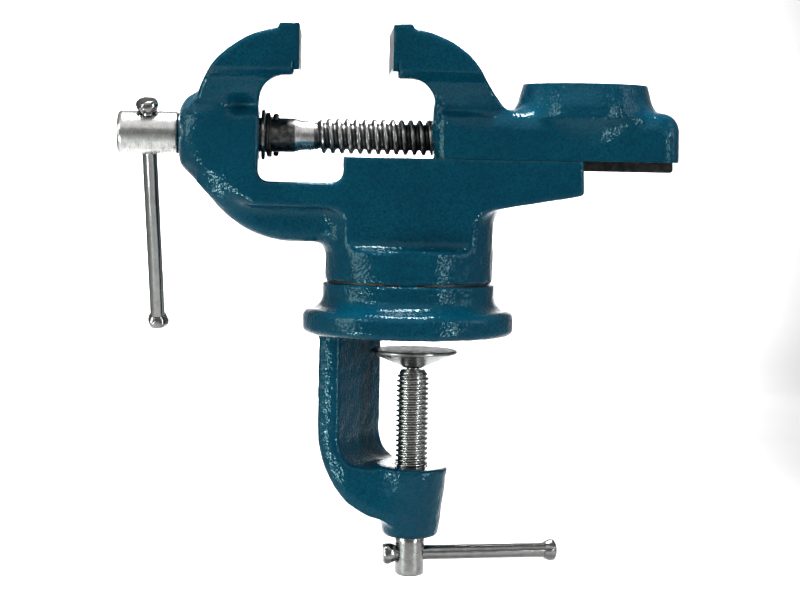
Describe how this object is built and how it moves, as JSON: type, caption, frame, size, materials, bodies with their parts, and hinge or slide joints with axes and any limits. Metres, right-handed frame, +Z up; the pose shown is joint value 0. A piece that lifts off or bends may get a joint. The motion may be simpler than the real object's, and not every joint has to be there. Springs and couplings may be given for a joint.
{
  "type": "clamp-on swivel bench vise",
  "caption": "Small table vise with a sliding jaw and anvil, on a swivelling base that clamps to a bench edge with a screw and pad.",
  "frame": {"origin": "on the swivel axis, in the flat underside of the clamp base that sits on the bench", "axes": "+X along the main screw from its handle to the anvil, +Z up along the swivel axis, +Y to the vise's left seen from the anvil"},
  "size_m": [0.2206, 0.0844, 0.2184],
  "materials": {
    "enamel": "dark teal gloss hammered enamel on cast iron",
    "ground_steel": "ground, cross-hatched",
    "turned_steel": "turned, satin",
    "bright_steel": "zinc-bright",
    "polished_bar": "polished nickel",
    "black_steel": "black oxide with oil"
  },
  "bodies": {
    "base": {"clamp_base": "enamel"},
    "upper": {"fixed_jaw_body": "enamel", "fixed_jaw_plate": "ground_steel", "fixed_plate_screws": "bright_steel", "swivel_bolt": "black_steel", "swivel_washer": "bright_steel", "swivel_spring": "black_steel"},
    "slide": {"moving_jaw": "enamel", "moving_jaw_plate": "ground_steel", "moving_plate_screws": "bright_steel", "slide_key": "black_steel", "key_screws": "black_steel"},
    "main_spindle": {"main_screw": "turned_steel", "thrust_washer": "bright_steel", "thrust_spring": "black_steel", "retaining_pin": "bright_steel"},
    "main_handle": {"main_bar": "polished_bar", "main_bar_top_knob": "polished_bar", "main_bar_end_knob": "polished_bar"},
    "pad": {"clamp_pad": "turned_steel", "pad_snap_ring": "black_steel"},
    "clamp_spindle": {"clamp_screw": "turned_steel"},
    "clamp_handle": {"clamp_bar": "polished_bar", "clamp_bar_inner_knob": "polished_bar", "clamp_bar_outer_knob": "polished_bar"}
  },
  "joints": [
    {"name": "swivel", "type": "hinge", "parent": "base", "child": "upper", "pos_m": [0, 0, 0.02], "axis": [0, 0, 1], "continuous": true},
    {"name": "main_screw_turn", "type": "hinge", "parent": "upper", "child": "main_spindle", "pos_m": [-0.1, 0, 0.078], "axis": [1, 0, 0], "range_deg": [-2400, 3575]},
    {"name": "jaw_slide", "type": "slide", "parent": "upper", "child": "slide", "axis": [1, 0, 0], "range_m": [-0.0358, 0.0241]},
    {"name": "main_bar_slide", "type": "slide", "parent": "main_spindle", "child": "main_handle", "axis": [-0.0262, -0.3419, 0.9394], "range_m": [0, 0.0703]},
    {"name": "clamp_lift", "type": "slide", "parent": "base", "child": "pad", "axis": [0, 0, 1], "range_m": [-0.0361, 0.0011]},
    {"name": "clamp_screw_turn", "type": "hinge", "parent": "pad", "child": "clamp_spindle", "pos_m": [0.00249, -0.00127, -0.05], "axis": [0, 0, 1], "range_deg": [-6480, 180]},
    {"name": "clamp_bar_slide", "type": "slide", "parent": "clamp_spindle", "child": "clamp_handle", "axis": [-0.9877, -0.1564, 0], "range_m": [0, 0.0495]}
  ],
  "couplings": [
    {"joint": "jaw_slide", "follows": "main_screw_turn", "m_per_rad": -0.00057296},
    {"joint": "clamp_lift", "follows": "clamp_screw_turn", "m_per_rad": 0.00031831}
  ]
}
